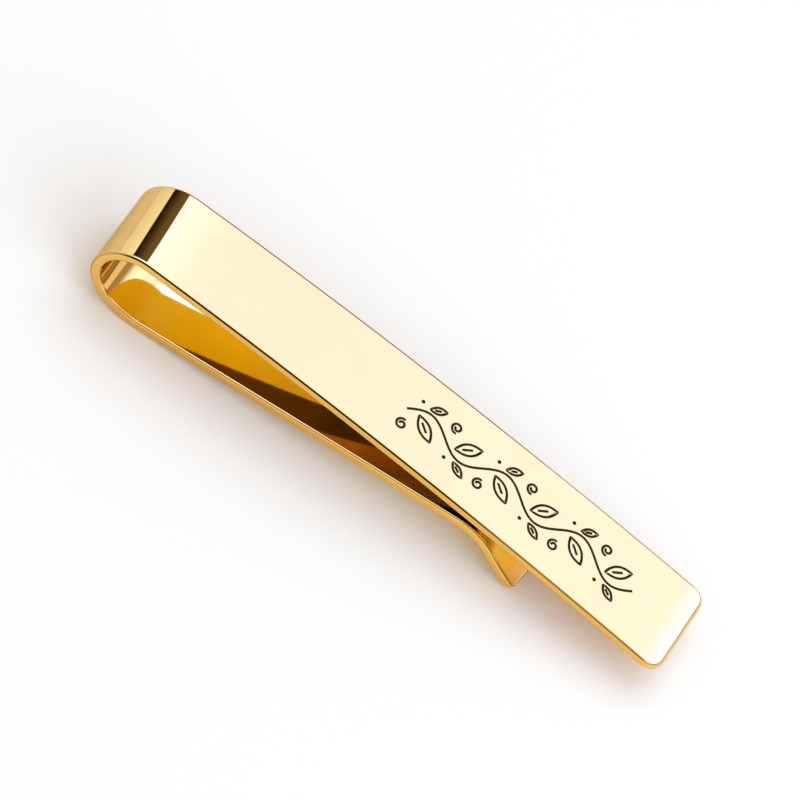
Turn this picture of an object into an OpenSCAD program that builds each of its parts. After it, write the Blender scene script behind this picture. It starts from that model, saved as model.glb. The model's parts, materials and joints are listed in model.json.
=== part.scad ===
// Spring tie clip, bent from one flat strip of polished, gold-plated metal.
// The strip runs from the free end of the front bar, round the bow, back along the spring leg,
// over the pinch nose and down the lead-in foot. It is divided square across into named sections,
// which meet face to face, so that the clip can open at the bow, the heel and the leg's middle.
// The clip lies at rest on its heel and on the tip of its foot.

/* [Strip] */
// Width of the strip
strip_w = 8; // [5:0.5:12]
// Thickness of the strip
strip_t = 0.95; // [0.6:0.05:1.3]

/* [Front bar] */
// Length of the front bar along its face, from the bow to the free end
bar_len = 50.7; // [40:0.1:64]
// How much wider than the strip the bar is at its free end
bar_widening = 0.6; // [0:0.1:1.5]
// Radius of the bar's lengthwise camber
bar_camber_r = 380; // [200:10:900]
// Radius of the two corners at the free end
bar_corner_r = 1.3; // [0.4:0.1:2.4]

/* [Bow] */
// Outer radius of the bow's tight turn
bow_r = 4; // [3:0.1:5.5]
// Angle that the tight turn covers
bow_angle = 149.5; // [135:0.5:160]
// Outer radius of the heel, the wider turn from the bow into the leg
heel_r = 6.15; // [4.5:0.05:9]

/* [Spring leg] */
// Length of the straight leg, from the heel to the nose
leg_len = 29.3; // [22:0.1:34]
// Gap left between the nose and the bar when the clip is at rest
jaw_gap = 0.8; // [0.2:0.05:1.2]

/* [Nose and foot] */
// Radius under the pinch nose
nose_r = 4; // [2.5:0.1:6]
// Slope of the lead-in foot where it leaves the nose, measured from the bar
flare_angle = 41; // [30:1:50]
// Length of the lead-in foot, from the nose to its tip
foot_len = 4; // [2.8:0.05:4.8]
// Radius under the foot, which eases its slope towards the tip
foot_r = 16; // [10:1:40]
// Radius of the tip's crowned end, seen from above
tip_crown_r = 28; // [7:0.5:60]
// Radius of the two corners of the tip
tip_corner_r = 0.5; // [0.2:0.1:1.5]

/* [Hidden] */
$fn = 180;
camber_fn = 1440;
gold = [0.93, 0.77, 0.42];
overrun = 0.5;
overrun_turn = 0.5;
leg_section_count = 2;
quarter_turn = 90;
half_turn = 180;

// A heading is the angle that the strip has turned through since the bow began, where its outer
// face ran level towards -X. The strip turns down and back, so the leg's heading is past 180.
// Points are [x, z] on the outer face, in the bar's frame, which has its origin at that beginning.
function inward(heading) = [sin(heading), -cos(heading)];
function ahead(heading) = [-cos(heading), -sin(heading)];
function turned(p, a) = [p.x * cos(a) + p.y * sin(a), -p.x * sin(a) + p.y * cos(a)];

camber_c = [0, -bar_camber_r];
bow_c = [0, -bow_r];
heel_c = bow_c + (heel_r - bow_r) * inward(bow_angle);

// The leg rises until its nose lies jaw_gap under the bar: its nose centre is carried round the
// heel's centre by an arm of fixed length, and meets the circle that keeps that gap.
bar_inner_r = bar_camber_r - strip_t;
nose_orbit_r = bar_inner_r - jaw_gap - (nose_r + strip_t);
heel_from_camber = heel_c - camber_c;
arm_drop = heel_r + nose_r;
arm = norm([leg_len, arm_drop]);
heel_dist = norm(heel_from_camber);
arm_cos = (nose_orbit_r * nose_orbit_r - heel_dist * heel_dist - arm * arm) / (2 * heel_dist * arm);
arm_slope = atan2(heel_from_camber.y, heel_from_camber.x) - acos(arm_cos);
leg_rise = arm_slope + atan2(arm_drop, leg_len);

leg_heading = half_turn + leg_rise;
leg_start = heel_c - heel_r * inward(leg_heading);
leg_step = leg_len / leg_section_count;
nose_start = leg_start + leg_len * ahead(leg_heading);
nose_c = nose_start - nose_r * inward(leg_heading);
flare_heading = half_turn - flare_angle;
foot_start = nose_c + nose_r * inward(flare_heading);
foot_c = foot_start + foot_r * inward(flare_heading);
tip_heading = flare_heading + foot_len / foot_r * half_turn / PI;
tip_end = foot_c - foot_r * inward(tip_heading);

// At rest the clip is tilted until one level line touches the heel and the foot's end.
heel_to_tip = tip_end - heel_c;
rest_tilt = atan2(heel_to_tip.y, heel_to_tip.x) + asin(heel_r / norm(heel_to_tip));
bar_turn = bar_len / bar_camber_r * half_turn / PI;
bar_end = camber_c - bar_camber_r * inward(-bar_turn);
bar_drop = bar_camber_r * (1 - cos(bar_turn));
floor_z = turned(heel_c, rest_tilt).y - heel_r;
left_x = turned(bow_c, rest_tilt).x - bow_r;
right_x = turned(bar_end, rest_tilt).x;

// The origin is on the surface that the clip lies on, under the middle of its length and width.
module at_rest()
    translate([-(left_x + right_x) / 2, 0, -floor_z])
        rotate([0, rest_tilt, 0])
            children();

// A stretch of strip bent about centre c, from polar angle a0 to a1, with its inner radius r.
module bend(c, r, a0, a1, w = strip_w)
    translate([c.x, 0, c.y])
        rotate([90, 0, 0])
            rotate([0, 0, a0])
                rotate_extrude(angle = a1 - a0)
                    translate([r, -w / 2])
                        square([strip_t, w]);

// A bend with its centre inside the clip, between two headings, and outer radius r.
module closing_bend(c, r, h0, h1) bend(c, r - strip_t, h0 + quarter_turn, h1 + quarter_turn);

// Puts its children at point p, with +X ahead along the strip and +Z inward.
module along(p, heading)
    translate([p.x, 0, p.y])
        rotate([0, half_turn - heading, 0])
            children();

// Outline of the front bar, seen square onto its free end, which lies at x = 0. It starts to widen
// where the bow's inner face meets the bar's.
module bar_outline() {
    sides_from = -bar_inner_r * sin(bar_turn);
    hull() {
        translate([sides_from - strip_t, -strip_w / 2])
            square([strip_t, strip_w]);
        for (side = [-1, 1])
            translate([-bar_corner_r, side * ((strip_w + bar_widening) / 2 - bar_corner_r)])
                circle(bar_corner_r);
    }
}

// Outline of a crowned strip end, seen along the strip's face, with its farthest point at x = 0.
module crowned_outline(r, crown_r, length) {
    corner_y = strip_w / 2 - r;
    corner_x = sqrt((crown_r - r) * (crown_r - r) - corner_y * corner_y) - crown_r;
    wedge_x = crown_r + overrun;
    wedge_y = corner_y * wedge_x / (corner_x + crown_r);
    translate([-length, -strip_w / 2])
        square([length + corner_x, strip_w]);
    for (side = [-1, 1])
        translate([corner_x, side * corner_y])
            circle(r);
    translate([-crown_r, 0])
        intersection() {
            circle(crown_r, $fn = camber_fn);
            polygon([[0, 0], [wedge_x, -wedge_y], [wedge_x, wedge_y]]);
        }
}

// The decorated front of the clip, gently cambered and a little wider towards its free end, which
// has two rounded corners.
module front_bar()
    color(gold)
        at_rest()
            intersection() {
                bend(camber_c, bar_inner_r, quarter_turn - bar_turn - overrun_turn, quarter_turn,
                    strip_w + bar_widening + overrun, $fn = camber_fn);
                translate([bar_end.x, 0, bar_end.y])
                    rotate([0, bar_turn, 0])
                        translate([0, 0, -bar_drop - strip_t - overrun])
                            linear_extrude(bar_drop + strip_t + 2 * overrun)
                                bar_outline();
            }

// Upper half of the bow, from the front bar to the clip's closed end.
module bow_crown() color(gold) at_rest() closing_bend(bow_c, bow_r, 0, quarter_turn);

// Lower half of the bow's tight turn.
module bow_back() color(gold) at_rest() closing_bend(bow_c, bow_r, quarter_turn, bow_angle);

// The wider turn that the clip lies on.
module bow_heel() color(gold) at_rest() closing_bend(heel_c, heel_r, bow_angle, leg_heading);

// One of the leg's equal sections, counted from the heel.
module leg_section(i)
    color(gold)
        at_rest()
            along(leg_start + i * leg_step * ahead(leg_heading), leg_heading)
                translate([0, -strip_w / 2, 0])
                    cube([leg_step, strip_w, strip_t]);

module leg_root() leg_section(0);

module leg_end() leg_section(1);

// The crest that pinches the cloth against the front bar.
module pinch_nose()
    color(gold)
        at_rest()
            bend(nose_c, nose_r, flare_heading - quarter_turn, leg_heading - quarter_turn);

// The foot that leads the cloth in, flared down and away from the bar, with a crowned tip.
module lead_in_foot()
    color(gold)
        at_rest()
            intersection() {
                closing_bend(foot_c, foot_r, flare_heading, tip_heading);
                along(tip_end, tip_heading)
                    translate([0, 0, -foot_len])
                        linear_extrude(2 * foot_len)
                            crowned_outline(tip_corner_r, tip_crown_r, 2 * foot_len);
            }

front_bar();
bow_crown();
bow_back();
bow_heel();
leg_root();
leg_end();
pinch_nose();
lead_in_foot();
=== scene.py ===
# %% [markdown]
# # A spring tie clip in polished gold plate
# A tie clip of this kind is a single strip of springy brass. It is stamped flat, its rim is
# rounded and polished, and then it is bent over rods until the leg springs back against the bar.
# This file makes it the same way: flat blanks first, then the engraving, then the bends.
# The frame comes first. It holds the solids that carry the real sizes, and the bodies that move.

import json
import math

import bpy
import bmesh
import numpy as np
from mathutils import Matrix, Vector

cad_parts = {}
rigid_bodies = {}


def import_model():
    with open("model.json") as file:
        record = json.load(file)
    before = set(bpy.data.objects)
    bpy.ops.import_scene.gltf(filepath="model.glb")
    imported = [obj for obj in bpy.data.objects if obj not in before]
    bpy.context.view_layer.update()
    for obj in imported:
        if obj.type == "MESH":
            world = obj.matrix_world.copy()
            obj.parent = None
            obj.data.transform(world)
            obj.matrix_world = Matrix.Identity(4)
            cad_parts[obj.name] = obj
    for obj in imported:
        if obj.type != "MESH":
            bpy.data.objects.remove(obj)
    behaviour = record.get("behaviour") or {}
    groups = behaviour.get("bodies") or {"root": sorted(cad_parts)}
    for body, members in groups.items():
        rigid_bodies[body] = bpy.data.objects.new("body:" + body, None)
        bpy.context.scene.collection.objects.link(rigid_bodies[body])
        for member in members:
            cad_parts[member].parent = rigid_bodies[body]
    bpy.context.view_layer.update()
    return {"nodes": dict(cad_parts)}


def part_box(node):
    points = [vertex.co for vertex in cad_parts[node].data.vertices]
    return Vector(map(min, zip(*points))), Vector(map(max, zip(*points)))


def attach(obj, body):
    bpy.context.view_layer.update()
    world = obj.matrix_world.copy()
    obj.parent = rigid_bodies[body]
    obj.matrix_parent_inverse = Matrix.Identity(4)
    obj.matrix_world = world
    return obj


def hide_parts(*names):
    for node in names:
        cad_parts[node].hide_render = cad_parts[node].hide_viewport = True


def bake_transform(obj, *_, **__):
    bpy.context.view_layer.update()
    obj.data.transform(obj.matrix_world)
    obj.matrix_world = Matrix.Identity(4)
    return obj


for leftover in list(bpy.data.objects):
    bpy.data.objects.remove(leftover)
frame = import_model()
mm = 0.001

# %% [markdown]
# ## The camera
# The clip is photographed from above its near edge with a long lens, and the camera is rolled, so
# the bar runs from upper left to lower right. A long lens far away keeps the two edges of the bar
# almost parallel. Azimuth, elevation and roll turn the camera, and the aim point is what lies in
# the middle of the picture.

# %% Place the camera
view_azimuth = math.radians(1.250)
view_elevation = math.radians(55.285)
view_roll = math.radians(34.167)
view_distance = 727.9 * mm
view_aim = Vector((-1.399, -0.173, 7.629)) * mm
lens_length = 420.46
sensor_size = 36.0

back = Vector((
    math.sin(view_azimuth) * math.cos(view_elevation),
    -math.cos(view_azimuth) * math.cos(view_elevation),
    math.sin(view_elevation),
))
level_right = Vector((math.cos(view_azimuth), math.sin(view_azimuth), 0))
level_up = back.cross(level_right)
right = math.cos(view_roll) * level_right + math.sin(view_roll) * level_up
up = back.cross(right)

camera_data = bpy.data.cameras.new("photo_camera")
camera_data.lens = lens_length
camera_data.sensor_width = sensor_size
camera_data.clip_start = 10 * mm
camera_data.clip_end = 10000 * mm
camera = bpy.data.objects.new("photo_camera", camera_data)
turn = Matrix((right, up, back)).transposed().to_4x4()
camera.matrix_world = Matrix.Translation(view_aim + view_distance * back) @ turn
bpy.context.scene.collection.objects.link(camera)
bpy.context.scene.camera = camera
print("camera at", [round(v, 4) for v in camera.location])

# %% [markdown]
# ## Sizes, and what the frame already knows
# The radii and angles of the bends come from the drawing. The rest is measured on the solids: the
# strip's width, the bar's length and tilt, and where the straight leg starts and stops. A
# station is a distance along the strip's outer face, counted from where the bow meets the bar.

# %% Sizes on the drawing
strip_thickness = 0.95 * mm
camber_radius = 380 * mm
bar_widening = 0.6 * mm
bar_corner_radius = 1.3 * mm
bow_radius = 4 * mm
bow_angle = math.radians(149.5)
heel_radius = 6.15 * mm
nose_radius = 4 * mm
flare_angle = math.radians(41)
foot_radius = 16 * mm
foot_length = 4 * mm
tip_corner_radius = 0.5 * mm
tip_crown_radius = 28 * mm
print("bow, heel, nose and foot bend to", [round(r / mm, 2) for r in (
    bow_radius, heel_radius, nose_radius, foot_radius)], "mm")

# %% How round the rim is
rim_radius = 0.25 * mm  # along both sides
end_rim_radius = 0.45 * mm  # over the bar's free end
tip_rim_radius = 0.5 * mm  # over the tip of the foot
print("rim radius in mm:", rim_radius / mm)

# %% Measure the solids


def corner_of(node, direction):
    """The vertex of a CAD node that lies farthest in a direction."""
    vertices = frame["nodes"][node].data.vertices
    return max((v.co for v in vertices), key=Vector(direction).dot).copy()


strip_width = (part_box("leg_root")[1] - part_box("leg_root")[0]).y
junction = corner_of("front_bar", (0, 0, 1))
bar_end = corner_of("front_bar", (1, 0, 0))
leg_start = corner_of("leg_root", (0, 0, -1))
leg_stop = corner_of("leg_end", (1, 0, 0))
for point in (junction, bar_end, leg_start, leg_stop):
    point.y = 0

bar_chord = bar_end - junction
bar_bend = 2 * math.asin(bar_chord.length / 2 / camber_radius)
bar_length = camber_radius * bar_bend
rest_tilt = math.atan2(-bar_chord.z, bar_chord.x) - bar_bend / 2
leg_line = leg_stop - leg_start
leg_length = leg_line.length
leg_heading = math.pi + math.atan2(leg_line.z, leg_line.x) + rest_tilt
print("tilt at rest:", round(math.degrees(rest_tilt), 3), "leg length:", round(leg_length / mm, 3))

# %% Stations along the strip
bow_length = bow_radius * bow_angle
heel_length = heel_radius * (leg_heading - bow_angle)
nose_length = nose_radius * (leg_heading - math.pi + flare_angle)
heel_station = bow_length
leg_station = heel_station + heel_length
nose_station = leg_station + leg_length
foot_station = nose_station + nose_length
tip_station = foot_station + foot_length
print("blank length in mm:", round((bar_length + tip_station) / mm, 2))

# %% [markdown]
# ## The flat blanks
# On the real clip the rim of the blank is tumbled round before it is bent. A blank here is a set
# of rows across the strip. Each row is the same rounded section, and at a shaped end the rows
# follow the corner round, so the rim goes round it too. The section's own normal is kept with
# every point. A mirror finish shows the smallest kink in the shading, and the true normal has
# none, however few rows there are. The clip is made in five stretches, because the spring bends
# at three places.

# %% The section across the strip
rim_angles = [math.radians(a) for a in (0, 12, 24, 36, 46, 55, 61, 68, 75, 82, 87, 90)]


def rim_section(outer_rim=rim_radius):
    """Half of the section, from the outer face round the rim to the inner face. Each point is
    how far it lies inside the outline, how high, and how far its normal has turned."""
    outer = [(outer_rim * (1 - math.sin(a)), -outer_rim * (1 - math.cos(a)), a)
             for a in rim_angles]
    inner = [(rim_radius * (1 - math.sin(a)),
              -strip_thickness + rim_radius * (1 - math.cos(a)), math.pi - a)
             for a in reversed(rim_angles)]
    return outer + inner


print("section points:", 2 * len(rim_section()))

# %% Outlines of the blanks, row by row
straight_row_gap = 1.0 * mm
foot_row_gap = 0.25 * mm
bend_row_angle = math.radians(1.5)
bar_corner_step = math.radians(4.5)
tip_corner_step = math.radians(6)
tip_crown_step = math.radians(1.2)
ROUNDING_SLACK = 1e-6


def between(first, last, gap):
    """Evenly spaced values from first to last, no farther apart than gap."""
    steps = max(1, math.ceil(abs(last - first) / gap - ROUNDING_SLACK))
    return list(np.linspace(first, last, steps + 1))


def side_rows(stations):
    """Rows along a straight side. A row is x, y, the outline's normal there, and the rim radius."""
    return [(-s, strip_width / 2, 0.0, 1.0, rim_radius) for s in stations]


def arc_rows(centre, radius, first, last, step):
    """Rows along an arc of the outline, seen from above."""
    return [(centre[0] + radius * math.cos(a), centre[1] + radius * math.sin(a),
             math.cos(a), math.sin(a), rim_radius) for a in between(first, last, step)]


def bar_rows():
    """The bar's side, which widens towards the free end, and the corner that it runs into."""
    centre_x = bar_length - bar_corner_radius
    centre_y = (strip_width + bar_widening) / 2 - bar_corner_radius
    rise = strip_width / 2 - centre_y
    spread = math.asin(bar_corner_radius / math.hypot(centre_x, rise)) - math.atan2(rise, centre_x)
    stop = centre_x - bar_corner_radius * math.sin(spread)
    side = [(x, strip_width / 2 + x * math.tan(spread), -math.sin(spread), math.cos(spread),
             rim_radius) for x in between(0, stop, straight_row_gap)]
    side[0] = (0.0, strip_width / 2, 0.0, 1.0, rim_radius)
    corner = arc_rows((centre_x, centre_y), bar_corner_radius, math.pi / 2 + spread, 0,
                      bar_corner_step)[1:]
    rims = np.linspace(rim_radius, end_rim_radius, len(corner))
    return side + [row[:4] + (float(rim),) for row, rim in zip(corner, rims)]


def crowned_tip_rows():
    """The foot's tip: a small corner, then the crown, as far as the middle of the strip."""
    corner_y = strip_width / 2 - tip_corner_radius
    reach = math.sqrt((tip_crown_radius - tip_corner_radius) ** 2 - corner_y ** 2)
    crown_x = tip_station - tip_crown_radius
    contact = math.atan2(corner_y, reach)
    corner = arc_rows((crown_x + reach, corner_y), tip_corner_radius, math.pi / 2, contact,
                      tip_corner_step)
    crown = arc_rows((crown_x, 0), tip_crown_radius, contact, 0, tip_crown_step)[1:]
    rims = list(np.linspace(rim_radius, tip_rim_radius, len(corner)))
    rims += [tip_rim_radius] * len(crown)
    return [(-x, y, -nx, ny, rim) for (x, y, nx, ny, _), rim in zip(corner + crown, rims)]


print("rows on the bar:", len(bar_rows()), "and round the tip:", len(crowned_tip_rows()))

# %% Make a blank from its rows
SHAPED_END = 0.5  # a last row whose normal leans this far along the strip closes a shaped end
SAME_POINT = 1e-8
NO_LENGTH = 1e-9


def blank_mesh(name, rows):
    """A closed flat solid from outline rows on the +Y side, mirrored to the other side.
    The first row is cut square, and the last is cut square or closes a shaped end."""
    count = len(rim_section())
    last = len(rows) - 1
    points, normals = [], []
    for x, y, nx, ny, outer_rim in rows:
        for side in (-1, 1):
            for inset, height, turned in rim_section(outer_rim):
                outward = math.sin(turned)
                points.append((x - inset * nx, side * (y - inset * ny), height))
                normals.append((nx * outward, side * ny * outward, math.cos(turned)))

    def index(row, side, k):
        return (row * 2 + side) * count + k

    faces = []
    for row in range(last):
        for side in (0, 1):
            for k in range(count - 1):
                faces.append([index(row, side, k), index(row + 1, side, k),
                              index(row + 1, side, k + 1), index(row, side, k + 1)])
        for k in (0, count - 1):
            faces.append([index(row, 0, k), index(row + 1, 0, k),
                          index(row + 1, 1, k), index(row, 1, k)])
    square_rows = [0]
    if abs(rows[last][2]) < SHAPED_END:
        square_rows.append(last)
    else:
        for k in range(count - 1):
            faces.append([index(last, 0, k), index(last, 0, k + 1),
                          index(last, 1, k + 1), index(last, 1, k)])
    for row in square_rows:
        faces.append([index(row, 0, k) for k in range(count)]
                     + [index(row, 1, k) for k in reversed(range(count))])

    mesh = bpy.data.meshes.new(name)
    mesh.from_pydata(points, [], faces)
    sheen = mesh.attributes.new("sheen", "FLOAT_VECTOR", "POINT")
    sheen.data.foreach_set("vector", np.array(normals, float).ravel())
    bm = bmesh.new()
    bm.from_mesh(mesh)
    bmesh.ops.remove_doubles(bm, verts=bm.verts, dist=SAME_POINT)
    bmesh.ops.dissolve_degenerate(bm, edges=bm.edges, dist=NO_LENGTH)
    bmesh.ops.recalc_face_normals(bm, faces=bm.faces)
    bm.to_mesh(mesh)
    bm.free()
    return mesh


print("blank maker ready; points less than", SAME_POINT / mm, "mm apart are merged")

# %% Make the five blanks
root_seam, end_seam = 1 / 4, 3 / 4  # where the leg is divided, as shares of its length
seam_in_heel = heel_station + heel_length / 2
seam_in_root = leg_station + leg_length * root_seam
seam_in_end = leg_station + leg_length * end_seam


def bend_stations(first, last, radius):
    return between(first, last, radius * bend_row_angle)


tip_rows = crowned_tip_rows()
blank_rows = {
    "polished_bar": bar_rows(),
    "bow_band": side_rows(bend_stations(0, bow_length, bow_radius)
                          + bend_stations(heel_station, seam_in_heel, heel_radius)[1:]),
    "heel_band": side_rows(bend_stations(seam_in_heel, leg_station, heel_radius)
                           + between(leg_station, seam_in_root, straight_row_gap)[1:]),
    "leg_band": side_rows(between(seam_in_root, seam_in_end, straight_row_gap)),
    "nose_and_foot": side_rows(between(seam_in_end, nose_station, straight_row_gap)
                               + bend_stations(nose_station, foot_station, nose_radius)[1:]
                               + between(foot_station, -tip_rows[0][0], foot_row_gap)[1:])
    + tip_rows[1:],
}
blanks = {name: blank_mesh(name, rows) for name, rows in blank_rows.items()}
for name, mesh in blanks.items():
    print(name, len(mesh.vertices), "points,", len(mesh.polygons), "faces")

# %% [markdown]
# ## Small helpers for node trees
# The engraving and the bends are Geometry Nodes trees, and the finishes are shader trees. All
# are built with the same few helpers: one adds a node and fills its sockets with values or with
# other nodes' outputs, and one opens a tree with named inputs. A modifier's input is set by its
# socket's identifier, before the object is first evaluated.

# %% Helpers for every tree


def add(tree, kind, inputs=(), **settings):
    """Adds a node. Inputs are pairs of socket and value, or socket and another node's output."""
    node = tree.nodes.new(kind)
    for name, value in settings.items():
        setattr(node, name, value)
    for socket, value in dict(inputs).items():
        if isinstance(value, bpy.types.NodeSocket):
            tree.links.new(value, node.inputs[socket])
        else:
            node.inputs[socket].default_value = value
    return node


def calc(tree, operation, *values):
    """One Math node, as its output."""
    return add(tree, "ShaderNodeMath", enumerate(values), operation=operation).outputs[0]


def combine(tree, operation, first, second):
    """One Vector Math node on two vectors, as its output."""
    return add(tree, "ShaderNodeVectorMath", {0: first, 1: second}, operation=operation).outputs[0]


def scaled(tree, vector, scale):
    return add(tree, "ShaderNodeVectorMath", {0: vector, "Scale": scale},
               operation="SCALE").outputs[0]


def vector_of(tree, x=0.0, y=0.0, z=0.0):
    return add(tree, "ShaderNodeCombineXYZ", {0: x, 1: y, 2: z}).outputs[0]


def turned_about_y(tree, vector, angle):
    return add(tree, "ShaderNodeVectorRotate", {"Vector": vector, "Angle": angle},
               rotation_type="Y_AXIS").outputs[0]


print("shared helpers ready")

# %% Helpers for Geometry Nodes
SOCKETS = {"float": "NodeSocketFloat", "int": "NodeSocketInt", "vector": "NodeSocketVector",
           "material": "NodeSocketMaterial", "geometry": "NodeSocketGeometry"}


def read(tree, name, kind="FLOAT_VECTOR"):
    """A named attribute, as an output."""
    return add(tree, "GeometryNodeInputNamedAttribute", {"Name": name}, data_type=kind).outputs[0]


def store(tree, geometry, name, vector, domain="POINT"):
    """The geometry with a vector stored under a name."""
    return add(tree, "GeometryNodeStoreNamedAttribute",
               {"Geometry": geometry, "Name": name, "Value": vector},
               data_type="FLOAT_VECTOR", domain=domain).outputs[0]


def moved(tree, geometry, position):
    return add(tree, "GeometryNodeSetPosition",
               {"Geometry": geometry, "Position": position}).outputs[0]


def open_tree(name, inputs):
    """A Geometry Nodes tree with named inputs: the tree, its inputs' outputs and its last node."""
    tree = bpy.data.node_groups.new(name, "GeometryNodeTree")
    for label, kind in inputs:
        tree.interface.new_socket(name=label, in_out="INPUT", socket_type=SOCKETS[kind])
    tree.interface.new_socket(name="Geometry", in_out="OUTPUT", socket_type=SOCKETS["geometry"])
    return tree, tree.nodes.new("NodeGroupInput").outputs, tree.nodes.new("NodeGroupOutput")


def run_tree(tree, start_mesh, settings, name):
    """Runs a tree on a mesh, and returns the result as a plain mesh."""
    worker = bpy.data.objects.new(name, start_mesh)
    bpy.context.scene.collection.objects.link(worker)
    modifier = worker.modifiers.new("nodes", "NODES")
    modifier.node_group = tree
    for item in tree.interface.items_tree:
        if item.in_out == "INPUT" and item.name in settings:
            modifier[item.identifier] = settings[item.name]
    depsgraph = bpy.context.evaluated_depsgraph_get()
    mesh = bpy.data.meshes.new_from_object(worker.evaluated_get(depsgraph), depsgraph=depsgraph)
    worker.modifiers.clear()
    bpy.data.objects.remove(worker)
    return mesh


print("kinds of tree input:", ", ".join(SOCKETS))

# %% [markdown]
# ## The engraved vine
# The right half of the bar carries fine, dark, engraved lines. Here they are a running vine, a
# border pattern that is centuries old: a waving stem, with a leaf in each hollow, and a smaller
# leaf, a curl and a bud beside it. A graver or a laser cuts a shallow channel of even width, so
# each line is a thin rod that is cut out of the flat blank. Geometry Nodes suit it, because the
# same few shapes repeat along a wave. No two rods touch, so one boolean cuts them all.

# %% Sizes of the vine
line_width = 0.25 * mm
line_depth = 0.08 * mm
vine_start = 22.6 * mm
vine_length = 22.8 * mm
vine_end = vine_start + vine_length
vine_swing = 0.95 * mm
vine_hollows = 6
leaf_length = 2.35 * mm
leaf_width = 1.0 * mm
small_leaf_share = 0.6
rib_span = (0.26, 0.66)  # where the rib starts and stops, as shares of the leaf's length
curl_radius = 0.52 * mm
curl_turns = 1.35
curl_eye = 1.1  # radius that the curl starts with, in rod radii
bud_radius = 0.17 * mm
rod_sides = 10
stem_points = 260
leaf_points = 44
curl_points = 20
bud_sides = 20
print("vine from", round(vine_start / mm, 1), "to", round(vine_end / mm, 1), "mm along the bar")

# %% Open the vine's tree
vine, vine_in, vine_out = open_tree("Running vine", [
    ("Start", "float"), ("Length", "float"), ("Swing", "float"), ("Hollows", "int"),
    ("Leaf length", "float"), ("Leaf width", "float"), ("Curl radius", "float"),
    ("Bud radius", "float"), ("Line width", "float"), ("Line depth", "float")])
rod_radius = calc(vine, "MULTIPLY", vine_in["Line width"], 0.5)
rod_lift = calc(vine, "SUBTRACT", rod_radius, vine_in["Line depth"])
hollow_length = calc(vine, "DIVIDE", vine_in["Length"], vine_in["Hollows"])
print("vine tree opened with", len(vine_in) - 1, "inputs")

# %% Shapes of the vine


def circle(points, radius):
    return add(vine, "GeometryNodeCurvePrimitiveCircle",
               {"Resolution": points, "Radius": radius}).outputs[0]


def straight(start, end):
    return add(vine, "GeometryNodeCurvePrimitiveLine", {"Start": start, "End": end}).outputs[0]


def joined(*parts):
    join = add(vine, "GeometryNodeJoinGeometry")
    for part in parts:
        vine.links.new(part, join.inputs[0])
    return join.outputs[0]


def rod(curve, cyclic=False):
    """A curve swept into a rod of the line's width, with closed ends."""
    return add(vine, "GeometryNodeCurveToMesh", {
        "Curve": curve, "Profile Curve": circle(rod_sides, rod_radius),
        "Fill Caps": not cyclic}).outputs[0]


def leaf(share):
    """A pointed leaf outline with a rib inside, that starts at the origin and points along X."""
    length = calc(vine, "MULTIPLY", vine_in["Leaf length"], share)
    width = calc(vine, "MULTIPLY", vine_in["Leaf width"], share)
    way_round = add(vine, "GeometryNodeSplineParameter").outputs["Factor"]
    turn = calc(vine, "MULTIPLY", way_round, 2 * math.pi)
    wave = calc(vine, "SINE", turn)
    along = calc(vine, "MULTIPLY", calc(vine, "SUBTRACT", 1.0, calc(vine, "COSINE", turn)), 0.5)
    pointed_wave = calc(vine, "MULTIPLY", wave, calc(vine, "ABSOLUTE", wave))
    across = calc(vine, "MULTIPLY", pointed_wave, 0.5)
    place = vector_of(vine, calc(vine, "MULTIPLY", along, length),
                      calc(vine, "MULTIPLY", across, width))
    outline = moved(vine, circle(leaf_points, 1.0), place)
    rib_start, rib_end = (vector_of(vine, calc(vine, "MULTIPLY", length, end)) for end in rib_span)
    return joined(rod(outline, cyclic=True), rod(straight(rib_start, rib_end)))


def curl():
    spiral = add(vine, "GeometryNodeCurveSpiral", {
        "Resolution": curl_points, "Rotations": curl_turns, "Height": 0.0,
        "Start Radius": calc(vine, "MULTIPLY", rod_radius, curl_eye),
        "End Radius": vine_in["Curl radius"]})
    return rod(spiral.outputs[0])


def bud():
    """A round spot that goes as deep as the lines."""
    half_depth = calc(vine, "ADD", rod_lift, vine_in["Line depth"])
    return add(vine, "GeometryNodeMeshCylinder", {
        "Vertices": bud_sides, "Radius": vine_in["Bud radius"],
        "Depth": calc(vine, "MULTIPLY", half_depth, 2.0)}).outputs[0]


def in_each_hollow(shape, along, across, turn, flip=False):
    """One copy of a shape in each hollow. Along is a share of the hollow's length, across is a
    share of the stem's swing on the side of the crest, and turn is measured from the stem's line.
    Flip turns every second copy over, so a curl winds the other way there."""
    number = add(vine, "GeometryNodeInputIndex").outputs[0]
    odd = calc(vine, "MODULO", number, 2.0)
    side = calc(vine, "SUBTRACT", 1.0, calc(vine, "MULTIPLY", odd, 2.0))
    x = calc(vine, "MULTIPLY_ADD", calc(vine, "ADD", number, along), hollow_length,
             vine_in["Start"])
    y = calc(vine, "MULTIPLY", calc(vine, "MULTIPLY", vine_in["Swing"], across), side)
    points = add(vine, "GeometryNodePoints", {
        "Count": vine_in["Hollows"], "Position": vector_of(vine, x, y, rod_lift)}).outputs[0]
    tip_over = calc(vine, "MULTIPLY", calc(vine, "SUBTRACT", 1.0, side),
                    math.pi / 2 if flip else 0.0)
    spin = vector_of(vine, tip_over, 0.0, calc(vine, "MULTIPLY", side, turn))
    return add(vine, "GeometryNodeInstanceOnPoints",
               {"Points": points, "Instance": shape, "Rotation": spin}).outputs[0]


print("hollows to fill:", vine_hollows)

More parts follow.
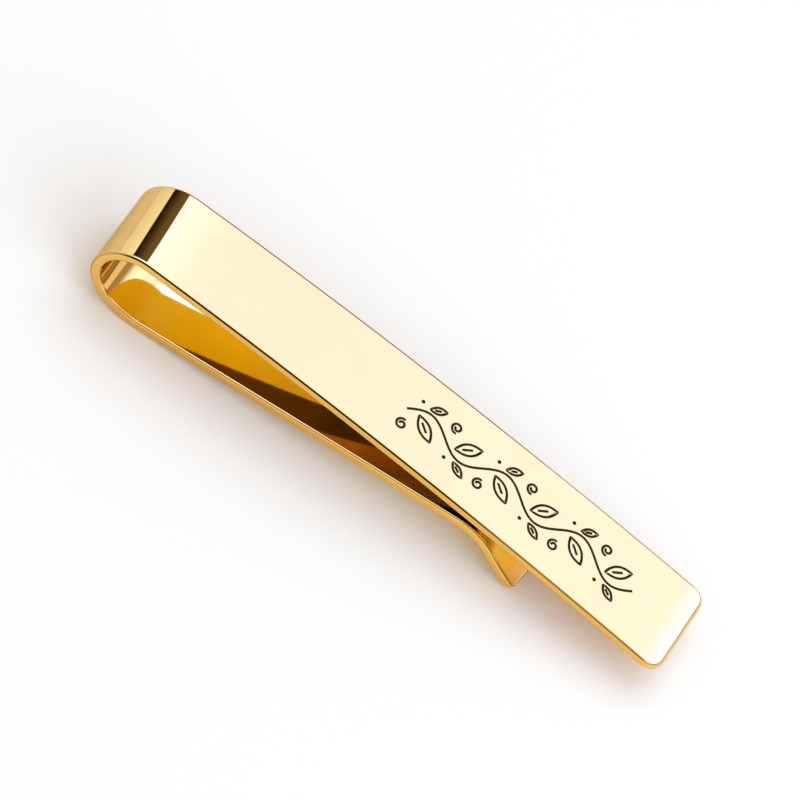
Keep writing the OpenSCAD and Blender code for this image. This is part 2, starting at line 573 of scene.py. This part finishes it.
# %% Grow the vine and make its rods
factor = add(vine, "GeometryNodeSplineParameter").outputs["Factor"]
wave_turn = calc(vine, "MULTIPLY", calc(vine, "MULTIPLY", factor, vine_in["Hollows"]), math.pi)
stem_x = calc(vine, "MULTIPLY_ADD", factor, vine_in["Length"], vine_in["Start"])
stem_y = calc(vine, "MULTIPLY", calc(vine, "SINE", wave_turn), vine_in["Swing"])
stem_line = add(vine, "GeometryNodeResampleCurve", {
    "Curve": straight((0, 0, 0), (1, 0, 0)), "Count": stem_points}).outputs[0]
stem = moved(vine, stem_line, vector_of(vine, stem_x, stem_y, rod_lift))
growth = joined(
    rod(stem),
    in_each_hollow(leaf(1.0), 0.30, 0.22, math.radians(-38)),
    in_each_hollow(leaf(small_leaf_share), 0.42, 1.38, math.radians(30)),
    in_each_hollow(curl(), 0.09, -1.55, math.radians(200), flip=True),
    in_each_hollow(bud(), 0.20, 1.55, 0.0))
vine.links.new(add(vine, "GeometryNodeRealizeInstances", {0: growth}).outputs[0],
               vine_out.inputs[0])

vine_rods = run_tree(vine, bpy.data.meshes.new("empty"), {
    "Start": vine_start, "Length": vine_length, "Swing": vine_swing, "Hollows": vine_hollows,
    "Leaf length": leaf_length, "Leaf width": leaf_width, "Curl radius": curl_radius,
    "Bud radius": bud_radius, "Line width": line_width, "Line depth": line_depth}, "vine_rods")
print("vine rods:", len(vine_rods.polygons), "faces")

# %% [markdown]
# ## Cutting the engraving and marking the shading
# The rods are cut out of the flat blank, where the face is a plane and the boolean is exact.
# Each corner of each face then gets its normal. The rim keeps the section's true normal, the flat
# faces point straight up or down, and cut ends and engraved channels keep their own. Hand
# polishing is never quite flat, and a mirror shows it: over the bow the reflections run a few
# degrees askew across the strip, and the near half of the leg's inner face is slightly crowned.
# Both are far too small to see in the outline, so they are turned into the normals alone.

# %% How polishing turns the normals
POLISH_DRIFT = math.radians(4)
DRIFTED_BOW = ((0.0, -0.6), (-6.0, -3.0))  # two steps in mm along the blank, from 0 to full
INNER_CROWN = math.radians(1.8)
CROWNED_LEG = ((-10.0, -12.0), (-44.0, -42.0))


def smooth(value, start, end):
    """0 at start and 1 at end, with a smooth step between them."""
    share = min(max((value - start) / (end - start), 0.0), 1.0)
    return share * share * (3 - 2 * share)


def swung(level, height, turn):
    """Two parts of a normal, turned from the height towards the level."""
    return (level * math.cos(turn) + height * math.sin(turn),
            height * math.cos(turn) - level * math.sin(turn))


def drifted(place, normal):
    """The normal at a place of the blank, turned as polishing turned the face there."""
    x, y, z = normal
    if z < 0:
        rise, fall = CROWNED_LEG
        crown = INNER_CROWN if place.y < 0 else 0.0
        y, z = swung(y, z, crown * smooth(place.x / mm, *rise) * smooth(place.x / mm, *fall))
    else:
        rise, fall = DRIFTED_BOW
        drift = POLISH_DRIFT * place.y / (strip_width / 2)
        x, z = swung(x, z, drift * smooth(place.x / mm, *rise) * smooth(place.x / mm, *fall))
    return x, y, z


print("drift in degrees:", round(math.degrees(POLISH_DRIFT), 1),
      "crown:", round(math.degrees(INNER_CROWN), 1))

# %% The graver


def engrave(mesh, rods):
    """Cuts the rods out of a flat blank."""
    block = bpy.data.objects.new("blank", mesh)
    tool = bpy.data.objects.new("graver", rods)
    for worker in (block, tool):
        bpy.context.scene.collection.objects.link(worker)
    cut = block.modifiers.new("engraving", "BOOLEAN")
    cut.operation, cut.solver, cut.object = "DIFFERENCE", "MANIFOLD", tool
    depsgraph = bpy.context.evaluated_depsgraph_get()
    result = bpy.data.meshes.new_from_object(block.evaluated_get(depsgraph), depsgraph=depsgraph)
    for worker in (block, tool):
        bpy.data.objects.remove(worker)
    result.materials.clear()
    return result


print("the graver cuts", round(line_depth / mm, 2), "mm deep")

# %% Store a normal for every corner
FLAT = 1e-7
SQUARE_TO_STRIP = 0.9999
SMALL_FACE = 8  # corners; a cut end is one face with more
vine_margin = 1 * mm


def place_key(point):
    return tuple(round(v / mm, 4) for v in point)


def in_channel(places):
    """Whether a face with these corners lies inside the engraving."""
    inside = strip_width / 2 - rim_radius - FLAT
    deepest = min(p.z for p in places)
    return -2 * line_depth < deepest < -FLAT and all(
        abs(p.y) < inside and vine_start - vine_margin < p.x < vine_end + vine_margin
        for p in places)


def store_corner_normals(mesh, true_normals):
    """Stores, for every corner of every face, the normal that a polished blank has there, and
    marks the engraved faces. Returns how many they are."""
    corners = np.zeros((len(mesh.loops), 3))
    engraved = np.zeros(len(mesh.polygons), bool)
    for face in mesh.polygons:
        places = [mesh.vertices[v].co for v in face.vertices]
        engraved[face.index] = in_channel(places)
        cut_end = abs(face.normal.x) > SQUARE_TO_STRIP and len(places) > SMALL_FACE
        level = (0, 0, math.copysign(1, face.normal.z))
        for loop, place in zip(face.loop_indices, places):
            if engraved[face.index] or cut_end:
                corners[loop] = face.normal
            else:
                corners[loop] = drifted(place, true_normals.get(place_key(place), level))
    sheen = mesh.attributes.new("sheen", "FLOAT_VECTOR", "CORNER")
    sheen.data.foreach_set("vector", corners.ravel())
    mesh.attributes.new("engraved", "BOOLEAN", "FACE").data.foreach_set("value", engraved)
    return int(engraved.sum())


for name, mesh in blanks.items():
    flat_normals = {place_key(v.co): tuple(n.vector) for v, n in
                    zip(mesh.vertices, mesh.attributes["sheen"].data)}
    mesh.attributes.remove(mesh.attributes["sheen"])
    if name == "polished_bar":
        mesh = blanks[name] = engrave(mesh, vine_rods)
    marked = store_corner_normals(mesh, flat_normals)
    print(name, "has", marked, "engraved faces of", len(mesh.polygons))

# %% [markdown]
# ## The bends
# The strip is bent over rods, the farthest bend first, so each bend carries what is already
# bent beyond it. One node group does one bend: it looks up how far round the rod a point's
# station lies, turns the point by that angle, and turns its stored normal with it. The same group
# gives the bar its slight camber. The place in the flat blank is kept as an attribute, so the
# finish can follow the strip round its bends, as real polishing lines do.

# %% One bend, as a node group
BEND_SIZES = ("Station", "Shortest", "Longest", "Radius")
bend, bend_in, bend_out = open_tree(
    "Bend over a rod", [("Geometry", "geometry")] + [(size, "float") for size in BEND_SIZES])
blank_x = add(bend, "ShaderNodeSeparateXYZ", {0: read(bend, "blank")}).outputs[0]
beyond = calc(bend, "SUBTRACT", calc(bend, "MULTIPLY", blank_x, -1.0), bend_in["Station"])
wrapped = calc(bend, "MINIMUM", calc(bend, "MAXIMUM", beyond, bend_in["Shortest"]),
               bend_in["Longest"])
angle = calc(bend, "DIVIDE", wrapped, bend_in["Radius"])
turn_back = calc(bend, "MULTIPLY", angle, -1.0)

foot_of_turn = vector_of(bend, calc(bend, "ADD", bend_in["Station"], wrapped))
run = calc(bend, "MULTIPLY", bend_in["Radius"], calc(bend, "SINE", angle))
arc_x = calc(bend, "MULTIPLY", calc(bend, "ADD", bend_in["Station"], run), -1.0)
arc_z = calc(bend, "MULTIPLY", bend_in["Radius"],
             calc(bend, "SUBTRACT", calc(bend, "COSINE", angle), 1.0))
lever = combine(bend, "ADD", add(bend, "GeometryNodeInputPosition").outputs[0], foot_of_turn)
target = combine(bend, "ADD", turned_about_y(bend, lever, turn_back),
                 vector_of(bend, arc_x, 0.0, arc_z))
bent = moved(bend, bend_in["Geometry"], target)
new_sheen = turned_about_y(bend, read(bend, "sheen"), turn_back)
bend.links.new(store(bend, bent, "sheen", new_sheen, domain="CORNER"), bend_out.inputs[0])
print("bend group:", len(bend.nodes), "nodes")

# %% All bends, in the order they are made
BENDS = ("Foot", "Nose", "Heel", "Bow", "Camber")


def input_name(bend_name, size):
    """What the press calls one size of one bend."""
    return f"{bend_name} {size.lower()}"


press, press_in, press_out = open_tree(
    "Bend the clip",
    [("Geometry", "geometry")]
    + [(input_name(label, size), "float") for label in BENDS for size in BEND_SIZES]
    + [("Tilt", "float"), ("Place", "vector"), ("Plating", "material"), ("Engraving", "material")])
work = store(press, press_in["Geometry"], "blank",
             add(press, "GeometryNodeInputPosition").outputs[0])
for label in BENDS:
    group = press.nodes.new("GeometryNodeGroup")
    group.node_tree = bend
    press.links.new(work, group.inputs["Geometry"])
    for size in BEND_SIZES:
        press.links.new(press_in[input_name(label, size)], group.inputs[size])
    work = group.outputs[0]
tilted_sheen = turned_about_y(press, read(press, "sheen"), press_in["Tilt"])
work = store(press, work, "sheen", tilted_sheen, domain="CORNER")
work = add(press, "GeometryNodeTransform", {
    "Geometry": work, "Translation": press_in["Place"],
    "Rotation": vector_of(press, 0.0, press_in["Tilt"], 0.0)}).outputs[0]
work = add(press, "GeometryNodeSetMaterial",
           {"Geometry": work, "Material": press_in["Plating"]}).outputs[0]
work = add(press, "GeometryNodeSetMaterial", {
    "Geometry": work, "Material": press_in["Engraving"],
    "Selection": read(press, "engraved", "BOOLEAN")}).outputs[0]
press.links.new(work, press_out.inputs[0])
print("press tree:", len(press.nodes), "nodes")

# %% [markdown]
# ## Gold plate
# Gold plate on brass is metal, so the shader is fully metallic, and all its colour is in the
# reflection. The tints are partly the gold and partly painted light. The broad front face is
# painted pale champagne, a painted highlight for the bright tent it mirrors, and its free end is
# painted nearly white, a painted highlight too. The bow is a fuller yellow, painted darker on its
# back as painted shade. The narrow sides are deep gold, deepened further as painted shade, with a
# painted glint at the free end. Inside the loop the light has met the metal several times before
# it leaves, and the inner face carries painted reflections of those bounces: orange and painted
# dark brown under the bar, and pale, nearly plain gold on the leg, a painted highlight. Each of the
# three faces has its own ramp of tints along the strip, and two masks on the height in the blank
# tell the faces apart. They read the place in the flat blank, so they stay on their own side of
# the strip round every bend.
#
# Just below the face, a dark hairline along the arris is a painted reflection. It is finer and
# lighter along the far side. A second painted reflection, a dark line, follows the leg's inner
# arris.

# %% Tints along the strip, with painted highlights, shade and reflections
# Painted highlight: the pale face tint stands in for the bright tent that the face mirrors.
PALE_FACE_HIGHLIGHT = (0.99, 0.89, 0.63)
# On the face, the darker bow stretch is painted shade and the near-white free end is a painted
# highlight.
FACE_GOLD_AND_PAINTED_LIGHT = [  # place along the blank in mm, the bow and the leg below 0 and the bar above it
    (-14, (0.95, 0.70, 0.30)), (-7, (0.765, 0.51, 0.205)), (-3.3, (0.765, 0.51, 0.205)),
    (-2.5, (0.84, 0.60, 0.25)), (-1.9, (0.90, 0.67, 0.29)), (-1.0, PALE_FACE_HIGHLIGHT), (48.6, PALE_FACE_HIGHLIGHT),
    (50.2, (1.0, 0.99, 0.95))]
# Deep gold sides, partly the gold and partly painted shade; the paler last stops are a painted
# glint at the free end.
SIDE_GOLD_AND_PAINTED_LIGHT = [
    (-44, (0.93, 0.55, 0.13)), (-32, (0.86, 0.49, 0.12)), (-18, (0.86, 0.49, 0.12)),
    (-10, (0.90, 0.54, 0.15)), (0, (0.90, 0.54, 0.14)), (10, (0.88, 0.52, 0.125)),
    (49.2, (0.88, 0.52, 0.125)), (50.3, (0.95, 0.70, 0.28))]
# Painted reflections inside the loop: a pale painted highlight on the leg, and orange and painted
# dark shade under the bar.
INNER_GOLD_AND_PAINTED_REFLECTIONS = [
    (-50.2, (0.98, 0.95, 0.80)), (-49.6, (0.97, 0.85, 0.27)), (-47, (0.97, 0.85, 0.27)),
    (-44, (0.98, 0.94, 0.78)), (-14.6, (0.98, 0.94, 0.78)), (-13.5, (0.95, 0.86, 0.55)),
    (-11.3, (0.93, 0.81, 0.44)), (-10.4, (0.85, 0.52, 0.17)), (-9, (0.80, 0.46, 0.13)),
    (-4, (0.80, 0.46, 0.13)), (0, (0.80, 0.40, 0.015)), (3.5, (0.85, 0.41, 0.005)),
    (8, (0.87, 0.42, 0.004)), (16, (0.74, 0.345, 0.01)), (18, (0.50, 0.24, 0.02)),
    (22.5, (0.48, 0.23, 0.02)), (25, (0.30, 0.17, 0.06)), (31, (0.30, 0.17, 0.06)),
    (36, (0.80, 0.36, 0.02)), (41, (0.92, 0.52, 0.17))]
print("tints on the face, the sides and inside:", len(FACE_GOLD_AND_PAINTED_LIGHT), len(SIDE_GOLD_AND_PAINTED_LIGHT), len(INNER_GOLD_AND_PAINTED_REFLECTIONS))

# %% Helpers for finishes


def new_material(name):
    """A material with only a Principled shader and its output."""
    material = bpy.data.materials.new(name)
    material.use_nodes = True
    return material, material.node_tree, material.node_tree.nodes["Principled BSDF"]


def fade(tree, value, start, end):
    """0 before start and 1 after end, with a smooth step between them."""
    return add(tree, "ShaderNodeMapRange", {0: value, 1: start, 2: end, 3: 0.0, 4: 1.0},
               interpolation_type="SMOOTHSTEP").outputs[0]


def window(tree, value, rise, fall):
    """1 between two smooth steps, each given as where it is 0 and where it is 1."""
    return calc(tree, "MULTIPLY", fade(tree, value, *rise), fade(tree, value, *fall))


def blend_colours(tree, share, first, second):
    return add(tree, "ShaderNodeMix", {0: share, 6: first, 7: second}, data_type="RGBA").outputs[2]


def ramp(tree, value, stops, scale=1.0):
    """Colours over a value, from stops of value and colour that go no higher than the scale."""
    low, high = stops[0][0], stops[-1][0]
    share = add(tree, "ShaderNodeMapRange", {0: value, 1: low, 2: high}).outputs[0]
    node = add(tree, "ShaderNodeValToRGB", {0: share})
    elements = node.color_ramp.elements
    while len(elements) < len(stops):
        elements.new(1.0)
    for element, (place, colour) in zip(elements, stops):
        rgb = colour if isinstance(colour, tuple) else (colour,) * 3
        element.position = (place - low) / (high - low)
        element.color = tuple(c / scale for c in rgb) + (1,)
    return scaled(tree, node.outputs[0], scale)


print("finish helpers ready")

# %% Masks that follow the strip
OUTER_FACE = (-0.055, -0.02)  # heights in the blank in mm, where the rim fades into the face
INNER_FACE = (-0.915, -0.93)

gold, gold_tree, gold_shader = new_material("polished_gold_plate")
in_blank = add(gold_tree, "ShaderNodeAttribute", attribute_name="blank").outputs["Vector"]
in_mm = scaled(gold_tree, in_blank, 1 / mm)
along, across, height = add(gold_tree, "ShaderNodeSeparateXYZ", {0: in_mm}).outputs
outer_face = fade(gold_tree, height, *OUTER_FACE)
inner_face = fade(gold_tree, height, *INNER_FACE)
# The plate colour is the gold together with the painted highlights, shade and reflections of the
# ramps.
plate_and_painted_light = blend_colours(gold_tree, inner_face, ramp(gold_tree, along, SIDE_GOLD_AND_PAINTED_LIGHT),
                             ramp(gold_tree, along, INNER_GOLD_AND_PAINTED_REFLECTIONS))
plate_and_painted_light = blend_colours(gold_tree, outer_face, plate_and_painted_light,
                             ramp(gold_tree, along, FACE_GOLD_AND_PAINTED_LIGHT))
print("masks fade at heights", OUTER_FACE, "and", INNER_FACE, "mm")

# %% The painted dark reflections beside the arrises
# Painted reflections: a dark hairline along the outer arris, lighter on the far side.
ARRIS_PAINTED_REFLECTION = (0.035, 0.009, 0.001, 1)
FAR_PAINTED_REFLECTION = (0.33, 0.125, 0.02, 1)
LINE_LOSSES = [  # along the strip in mm: where the line starts to weaken, where it has, how much
    (-1.5, -3.5, 0.6), (-7, -10, 0.4), (28, 38, 0.3), (48.8, 49.8, 0.7)]
LOWER_LINE = ((-0.918, -0.905), (-0.85, -0.865))
LOWER_LINE_STARTS = (-10.5, -12.5)
LOWER_LINE_STRENGTH = 0.8

far_side = fade(gold_tree, across, -0.5, 0.5)


def by_side(near, far):
    """A height in mm that differs between the near side and the far side of the strip."""
    return calc(gold_tree, "MULTIPLY_ADD", far_side, far - near, near)


below_top = calc(gold_tree, "SUBTRACT", by_side(-0.05, 0.0), height)
above_bottom = calc(gold_tree, "SUBTRACT", height, by_side(-0.20, -0.13))
line = calc(gold_tree, "MULTIPLY", fade(gold_tree, below_top, 0.0, 0.003),
            fade(gold_tree, above_bottom, 0.0, 0.02))
for start, end, loss in LINE_LOSSES:
    left_over = calc(gold_tree, "MULTIPLY_ADD", fade(gold_tree, along, start, end), -loss, 1.0)
    line = calc(gold_tree, "MULTIPLY", line, left_over)
# Painted reflection: a dark line along the leg's inner arris.
lower_painted_reflection = calc(gold_tree, "MULTIPLY", window(gold_tree, height, *LOWER_LINE),
                  fade(gold_tree, along, *LOWER_LINE_STARTS))
line = calc(gold_tree, "MAXIMUM", line,
            calc(gold_tree, "MULTIPLY", lower_painted_reflection, LOWER_LINE_STRENGTH))
painted_reflection_colour = blend_colours(gold_tree, far_side, ARRIS_PAINTED_REFLECTION, FAR_PAINTED_REFLECTION)
plate_and_painted_light = blend_colours(gold_tree, line, plate_and_painted_light, painted_reflection_colour)
print("the hairline weakens at", len(LINE_LOSSES), "places")

# %% Polishing marks and the finished shader
cloudiness = add(gold_tree, "ShaderNodeTexNoise", {
    "Vector": in_blank, "Scale": 180.0, "Detail": 3.0, "Roughness": 0.55}).outputs[0]
along_strip = add(gold_tree, "ShaderNodeMapping", {
    "Vector": in_blank, "Scale": (60.0, 5200.0, 5200.0)}).outputs[0]
brushed = add(gold_tree, "ShaderNodeTexNoise", {
    "Vector": along_strip, "Scale": 1.0, "Detail": 4.0, "Roughness": 0.6}).outputs[0]
hairs = fade(gold_tree, brushed, 0.66, 0.78)
shade = calc(gold_tree, "MULTIPLY_ADD", fade(gold_tree, cloudiness, 0.3, 0.7), 0.03, 0.985)
clouded = calc(gold_tree, "MULTIPLY_ADD", cloudiness, 0.03, 0.025)
gold_tree.links.new(combine(gold_tree, "MULTIPLY", plate_and_painted_light, shade),
                    gold_shader.inputs["Base Color"])
gold_tree.links.new(calc(gold_tree, "MULTIPLY_ADD", hairs, 0.07, clouded),
                    gold_shader.inputs["Roughness"])
gold_tree.links.new(add(gold_tree, "ShaderNodeBump", {
    "Strength": 0.05, "Distance": 0.002 * mm, "Height": hairs}).outputs[0],
    gold_shader.inputs["Normal"])
gold_shader.inputs["Metallic"].default_value = 1.0
gold_shader.inputs["Specular Tint"].default_value = (0.83, 0.68, 0.50, 1)
print("gold plate:", len(gold_tree.nodes), "nodes")

# %% [markdown]
# ## The engraved lines
# A laser leaves its channel matt and burnt brown. The floor of the channel is finely grained, so
# it scatters the light and reads as a dark line from every side.

# %% Burnt channel
BURNT_DARK = (0.018, 0.007, 0.001, 1)
BURNT_LIGHT = (0.052, 0.024, 0.003, 1)

engraved_line, burnt_tree, burnt_shader = new_material("burnt_engraving")
grain = add(burnt_tree, "ShaderNodeTexNoise", {
    "Vector": add(burnt_tree, "ShaderNodeAttribute", attribute_name="blank").outputs["Vector"],
    "Scale": 9000.0, "Detail": 3.0}).outputs[0]
burnt_colour = blend_colours(burnt_tree, fade(burnt_tree, grain, 0.3, 0.7), BURNT_DARK,
                             BURNT_LIGHT)
burnt_tree.links.new(burnt_colour, burnt_shader.inputs["Base Color"])
burnt_tree.links.new(add(burnt_tree, "ShaderNodeBump", {
    "Strength": 0.4, "Distance": 0.01 * mm, "Height": grain}).outputs[0],
    burnt_shader.inputs["Normal"])
burnt_shader.inputs["Roughness"].default_value = 0.62
burnt_shader.inputs["Metallic"].default_value = 0.0
burnt_shader.inputs["Specular IOR Level"].default_value = 0.15
print("engraving:", len(burnt_tree.nodes), "nodes")

# %% [markdown]
# ## Bending the stretches
# Every blank goes through all five bends. A bend that a stretch doesn't reach only carries it
# along, so the stretches meet exactly at their seams. The result is a plain mesh, and the stored
# normals become its custom normals.

# %% Bend the five stretches
bend_sizes = {  # station, shortest, longest, radius
    "Foot": (foot_station, 0.0, 2 * foot_length, foot_radius),
    "Nose": (nose_station, 0.0, nose_length, -nose_radius),
    "Heel": (heel_station, 0.0, heel_length, heel_radius),
    "Bow": (0.0, 0.0, bow_length, bow_radius),
    "Camber": (0.0, -bar_length, 0.0, camber_radius),
}
press_settings = {"Tilt": rest_tilt, "Place": tuple(junction), "Plating": gold,
                  "Engraving": engraved_line}
for label, values in bend_sizes.items():
    for size, value in zip(BEND_SIZES, values):
        press_settings[input_name(label, size)] = float(value)

stretches = {}
for name, flat in blanks.items():
    bent_mesh = run_tree(press, flat, press_settings, name)
    normals = np.zeros(3 * len(bent_mesh.loops))
    bent_mesh.attributes["sheen"].data.foreach_get("vector", normals)
    bent_mesh.attributes.remove(bent_mesh.attributes["sheen"])
    bent_mesh.polygons.foreach_set("use_smooth", [True] * len(bent_mesh.polygons))
    bent_mesh.normals_split_custom_set(normals.reshape(-1, 3))
    bent_mesh.name = name
    if name != "polished_bar":
        bent_mesh.materials.pop(index=1)  # only the bar is engraved
    piece = stretches[name] = bpy.data.objects.new(name, bent_mesh)
    bpy.context.scene.collection.objects.link(piece)
    low = np.min([v.co for v in bent_mesh.vertices], axis=0) / mm
    high = np.max([v.co for v in bent_mesh.vertices], axis=0) / mm
    print(name, "from", low.round(2), "to", high.round(2), "mm")

# %% [markdown]
# ## What moves with what
# The clip lies on its leg, so the start of the leg is still, and three places flex: the heel and
# the bow, which lift the bar, and the middle of the leg. The bar rides on the front body and the
# nose and foot on the leg's tip. The three stretches between them, over the bow, the heel and the
# middle of the leg, are baked where they lie and ride on no body.

# %% Ride and bake
leg_ahead = leg_line.normalized()
seam_margin = 0.5 * mm
heel_blend_start = -1.5 * mm  # just before the leg, measured along its line
bow_blend = (math.radians(40), math.radians(140))


def bow_point(heading):
    """The point of the bow's outer face where the strip has turned through an angle."""
    x, z = -bow_radius * math.sin(heading), -bow_radius * (1 - math.cos(heading))
    return tuple(junction + Matrix.Rotation(rest_tilt, 3, "Y") @ Vector((x, 0, z)))


def leg_point(share, margin=0.0):
    """A point on the leg's outer face, a share of its length from the heel and a margin more."""
    return tuple(leg_start + leg_ahead * (share * leg_length + margin))


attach(stretches["polished_bar"], "front")
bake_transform(stretches["bow_band"], "front", "bow",
         start=bow_point(bow_blend[0]), end=bow_point(bow_blend[1]))
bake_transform(stretches["heel_band"], "bow", "leg_root",
         start=leg_point(0, heel_blend_start), end=leg_point(root_seam, -seam_margin))
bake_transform(stretches["leg_band"], "leg_root", "leg_tip",
         start=leg_point(root_seam, seam_margin), end=leg_point(end_seam, -seam_margin))
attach(stretches["nose_and_foot"], "leg_tip")
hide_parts("front_bar")
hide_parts("bow_crown", "bow_back")
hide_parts("bow_heel")
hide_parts("leg_root")
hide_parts("leg_end", "pinch_nose", "lead_in_foot")
print("pieces:", ", ".join(stretches))

# %% [markdown]
# ## White paper
# The clip lies on a sheet of white paper that runs out of the picture on all sides. It keeps the
# soft shadow.

# %% Floor
floor_reach = 1.0
PAPER_DARK = (0.965, 0.965, 0.965, 1)
PAPER_LIGHT = (0.985, 0.985, 0.985, 1)

floor_mesh = bpy.data.meshes.new("paper_sweep")
floor_corners = [(x * floor_reach, y * floor_reach, 0.0)
                 for x, y in ((-1, -1), (1, -1), (1, 1), (-1, 1))]
floor_mesh.from_pydata(floor_corners, [], [(0, 1, 2, 3)])
floor = bpy.data.objects.new("paper_sweep", floor_mesh)
bpy.context.scene.collection.objects.link(floor)
paper, paper_tree, paper_shader = new_material("white_paper")
fibres = add(paper_tree, "ShaderNodeTexNoise", {
    "Vector": add(paper_tree, "ShaderNodeTexCoord").outputs["Object"],
    "Scale": 900.0, "Detail": 4.0}).outputs[0]
paper_tree.links.new(blend_colours(paper_tree, fibres, PAPER_DARK, PAPER_LIGHT),
                     paper_shader.inputs["Base Color"])
paper_shader.inputs["Roughness"].default_value = 0.95
paper_shader.inputs["Specular IOR Level"].default_value = 0.0
floor_mesh.materials.append(paper)
print("floor:", 2 * floor_reach, "m across")

# %% [markdown]
# ## Studio light
# Polished metal shows the room, so the room matters more than the lamps. It is a white tent,
# brightest straight above the bar and a little towards the bow. A brown card hangs behind the
# bow. It is what draws the dark band across the bow and, after three bounces, the dark wedge on
# the leg. Low on the right the tent has a dim stretch, which darkens the tip of the foot.
# The tent is a world that only mirror rays see in this detail. The camera sees plain white, and
# paper gets an even, warm light. Two soft lamps, slightly blue, make the paper white again where
# they reach it, and leave the shadow warm. No mirror ray meets them.

# %% The tent and the card
DIM = (0.44, 0.38, 0.26)
TENT_LEAN = [  # lean towards -X in degrees, and the tent's brightness there
    (-180, 1.05), (-76, 1.05), (-71, DIM), (-57, DIM), (-50, 1.10), (-46, 1.20), (-28, 1.20),
    (-24, 1.10), (-20, 1.06), (-12, 1.05), (-8, 1.02), (-4.2, 1.00), (-2.3, 1.00), (-1.3, 1.04),
    (-0.5, 1.16), (0.0, 1.26), (1.3, 1.30), (14, 1.30), (55, 1.05), (180, 1.05)]
BRIGHTEST = 1.4
CARD = [(12, (0.140, 0.088, 0.025)), (30, (0.125, 0.076, 0.021)), (40, (0.070, 0.043, 0.013)),
        (50, (0.026, 0.014, 0.005)), (60, (0.026, 0.014, 0.005))]
CARD_LEAN = ((17.0, 18.5), (56.5, 55.0))  # its soft edges, in degrees of lean
CARD_SPAN = ((0.20, 0.26), (0.90, 0.84))  # and from near to far, as the ray's share along +Y

world = bpy.data.worlds.new("studio")
world.use_nodes = True
bpy.context.scene.world = world
studio = world.node_tree
studio.nodes.clear()

heading_out = add(studio, "ShaderNodeTexCoord").outputs["Generated"]
out_x, out_y, out_z = add(studio, "ShaderNodeSeparateXYZ", {0: heading_out}).outputs
leftward = calc(studio, "MULTIPLY", out_x, -1.0)
lean = calc(studio, "DEGREES", calc(studio, "ARCTAN2", leftward, out_z))
on_card = calc(studio, "MULTIPLY", window(studio, lean, *CARD_LEAN),
               window(studio, out_y, *CARD_SPAN))
mirror_view = blend_colours(studio, on_card, ramp(studio, lean, TENT_LEAN, BRIGHTEST),
                            ramp(studio, lean, CARD))
print("tent:", len(TENT_LEAN), "steps of brightness; card:", len(CARD))

# %% Who sees what
AMBIENT = (0.63, 0.56, 0.49, 1)
PLAIN_WHITE = (1, 1, 1, 1)

rays = add(studio, "ShaderNodeLightPath").outputs
seen = calc(studio, "MAXIMUM", rays["Is Camera Ray"], rays["Is Transmission Ray"])
even_light = blend_colours(studio, seen, AMBIENT, PLAIN_WHITE)
room = blend_colours(studio, rays["Is Glossy Ray"], even_light, mirror_view)
tent = add(studio, "ShaderNodeBackground", {"Color": room, "Strength": 1.0}).outputs[0]
add(studio, "ShaderNodeOutputWorld", {"Surface": tent})
bpy.context.scene.view_settings.view_transform = "Standard"
print("world:", len(studio.nodes), "nodes")

# %% Two soft lamps
LAMPS = [  # name, way from the clip, and energy
    ("key", (0.05, 0.35, 1.0), 1.50), ("low_fill", (1.0, -0.45, 0.75), 1.75)]
LAMP_DISTANCE = 0.60
LAMP_SIZE = 0.60
LAMP_COLOUR = (0.73, 0.865, 1.0)

for name, way, energy in LAMPS:
    lamp_data = bpy.data.lights.new(name, "AREA")
    lamp_data.shape = "DISK"
    lamp_data.size = LAMP_SIZE
    lamp_data.energy = energy
    lamp_data.color = LAMP_COLOUR
    lamp = bpy.data.objects.new(name, lamp_data)
    lamp_way = Vector(way).normalized()
    lamp.location = lamp_way * LAMP_DISTANCE
    lamp.rotation_mode = "QUATERNION"
    lamp.rotation_quaternion = lamp_way.to_track_quat("Z", "Y")
    lamp.visible_glossy = False
    lamp.visible_camera = False
    bpy.context.scene.collection.objects.link(lamp)
print("lamps:", ", ".join(name for name, _, _ in LAMPS))
